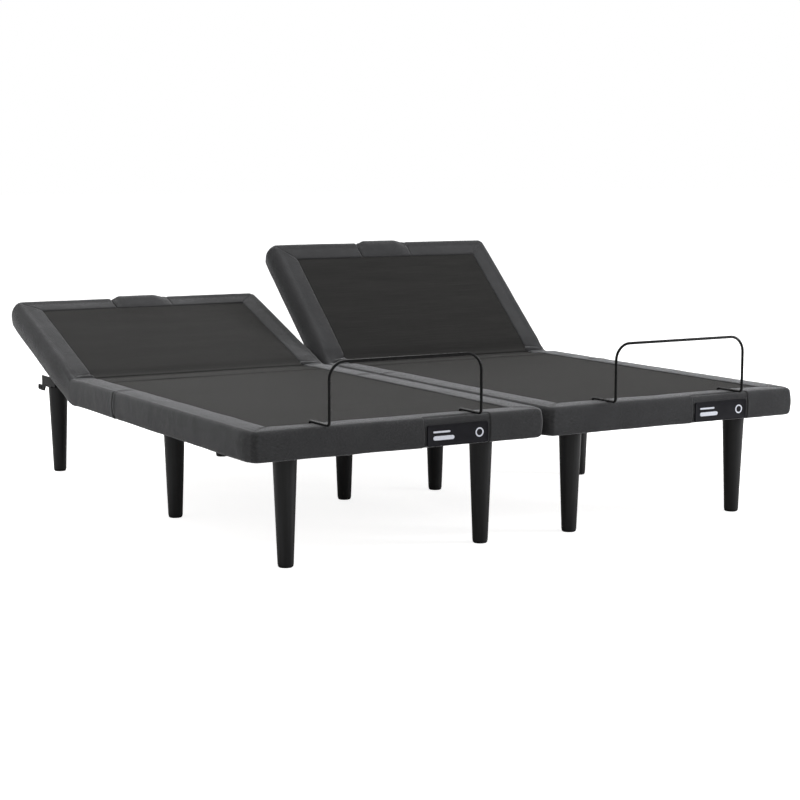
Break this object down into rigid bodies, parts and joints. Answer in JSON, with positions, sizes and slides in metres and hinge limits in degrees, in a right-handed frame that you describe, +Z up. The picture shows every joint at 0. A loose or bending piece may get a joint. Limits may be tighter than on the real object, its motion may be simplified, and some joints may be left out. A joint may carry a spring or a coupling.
{
  "type": "adjustable bed base",
  "caption": "Pair of adjustable bed bases side by side: padded decks with lifting head and folding leg sections on steel chassis with tapered legs.",
  "frame": {"origin": "on the floor under the middle of the pair's overall plan box, midway between the two units", "axes": "+Z up, +Y towards the head end, +X to the right seen from the foot end"},
  "size_m": [1.956, 2.1002, 0.8416],
  "materials": {
    "chassis_steel": "satin black powder coat",
    "bright_steel": "plain zinc-plated steel",
    "actuator_plastic": "fine-grained black housing",
    "leg_black": "satin black",
    "rubber_black": "matt",
    "deck_wood": "raw plywood",
    "deck_fabric": "fine black-brown woven deck cloth",
    "border_fabric": "charcoal heather upholstery weave",
    "bar_black": "semi-gloss black",
    "plate_black": "satin black"
  },
  "bodies": {
    "base": {"left_chassis": "chassis_steel", "right_chassis": "chassis_steel", "legs": "leg_black", "leg_glides": "rubber_black", "leg_plates": "chassis_steel", "seat_deck_boards": "deck_wood", "seat_deck_pads": "deck_fabric", "seat_borders": "border_fabric", "seat_bearers": "chassis_steel", "fixed_hinges": "chassis_steel", "hinge_pins": "bright_steel", "actuators": "actuator_plastic", "actuator_motors": "actuator_plastic", "actuator_brackets": "chassis_steel", "actuator_rear_pins": "bright_steel", "unit_ties": "chassis_steel", "tie_bolts": "bright_steel", "headboard_brackets": "chassis_steel", "rest_bumpers": "rubber_black", "control_boxes": "actuator_plastic", "power_supplies": "actuator_plastic"},
    "left_head_section": {"left_head_deck_board": "deck_wood", "left_head_deck_pad": "deck_fabric", "left_head_border": "border_fabric", "left_head_grip_pad": "border_fabric", "left_head_frame": "chassis_steel", "left_head_massage_motor": "actuator_plastic"},
    "left_thigh_section": {"left_thigh_deck_board": "deck_wood", "left_thigh_deck_pad": "deck_fabric", "left_thigh_border": "border_fabric", "left_thigh_frame": "chassis_steel"},
    "left_foot_section": {"left_foot_deck_board": "deck_wood", "left_foot_deck_pad": "deck_fabric", "left_foot_border": "border_fabric", "left_foot_frame": "chassis_steel", "left_retainer_sockets": "actuator_plastic", "left_retainer_bar": "bar_black", "left_name_plate": "plate_black"},
    "left_head_rod": {"left_head_actuator_rod": "bright_steel"},
    "left_leg_rod": {"left_leg_actuator_rod": "bright_steel"},
    "right_head_section": {"right_head_deck_board": "deck_wood", "right_head_deck_pad": "deck_fabric", "right_head_border": "border_fabric", "right_head_grip_pad": "border_fabric", "right_head_frame": "chassis_steel", "right_head_massage_motor": "actuator_plastic"},
    "right_thigh_section": {"right_thigh_deck_board": "deck_wood", "right_thigh_deck_pad": "deck_fabric", "right_thigh_border": "border_fabric", "right_thigh_frame": "chassis_steel"},
    "right_foot_section": {"right_foot_deck_board": "deck_wood", "right_foot_deck_pad": "deck_fabric", "right_foot_border": "border_fabric", "right_foot_frame": "chassis_steel", "right_retainer_sockets": "actuator_plastic", "right_retainer_bar": "bar_black", "right_name_plate": "plate_black"},
    "right_head_rod": {"right_head_actuator_rod": "bright_steel"},
    "right_leg_rod": {"right_leg_actuator_rod": "bright_steel"}
  },
  "joints": [
    {"name": "left_head_tilt", "type": "hinge", "parent": "base", "child": "left_head_section", "pos_m": [-0.4955, 0.40163, 0.396], "axis": [1, 0, 0], "range_deg": [-20.8, 39.2]},
    {"name": "left_thigh_lift", "type": "hinge", "parent": "base", "child": "left_thigh_section", "pos_m": [-0.4955, 0.00912, 0.396], "axis": [-1, 0, 0], "range_deg": [0, 40]},
    {"name": "left_knee_fold", "type": "hinge", "parent": "left_thigh_section", "child": "left_foot_section", "pos_m": [-0.4955, -0.40087, 0.396], "axis": [1, 0, 0], "range_deg": [0, 60]},
    {"name": "left_head_rod_slide", "type": "slide", "parent": "base", "child": "left_head_rod", "axis": [0, 1, 0], "range_m": [-0.04098, 0.07723]},
    {"name": "left_leg_rod_slide", "type": "slide", "parent": "base", "child": "left_leg_rod", "axis": [0, -1, 0], "range_m": [0, 0.0755]},
    {"name": "right_head_tilt", "type": "hinge", "parent": "base", "child": "right_head_section", "pos_m": [0.4955, 0.40163, 0.396], "axis": [1, 0, 0], "range_deg": [-41.8, 18.2]},
    {"name": "right_thigh_lift", "type": "hinge", "parent": "base", "child": "right_thigh_section", "pos_m": [0.4955, 0.00912, 0.396], "axis": [-1, 0, 0], "range_deg": [0, 40]},
    {"name": "right_knee_fold", "type": "hinge", "parent": "right_thigh_section", "child": "right_foot_section", "pos_m": [0.4955, -0.40087, 0.396], "axis": [1, 0, 0], "range_deg": [0, 60]},
    {"name": "right_head_rod_slide", "type": "slide", "parent": "base", "child": "right_head_rod", "axis": [0, 1, 0], "range_m": [-0.08235, 0.03586]},
    {"name": "right_leg_rod_slide", "type": "slide", "parent": "base", "child": "right_leg_rod", "axis": [0, -1, 0], "range_m": [0, 0.0755]}
  ],
  "couplings": [
    {"joint": "left_knee_fold", "follows": "left_thigh_lift", "ratio": 1.5},
    {"joint": "left_head_rod_slide", "follows": "left_head_tilt", "m_per_rad": 0.11288},
    {"joint": "left_leg_rod_slide", "follows": "left_thigh_lift", "m_per_rad": 0.10815},
    {"joint": "right_knee_fold", "follows": "right_thigh_lift", "ratio": 1.5},
    {"joint": "right_head_rod_slide", "follows": "right_head_tilt", "m_per_rad": 0.11288},
    {"joint": "right_leg_rod_slide", "follows": "right_thigh_lift", "m_per_rad": 0.10815}
  ]
}
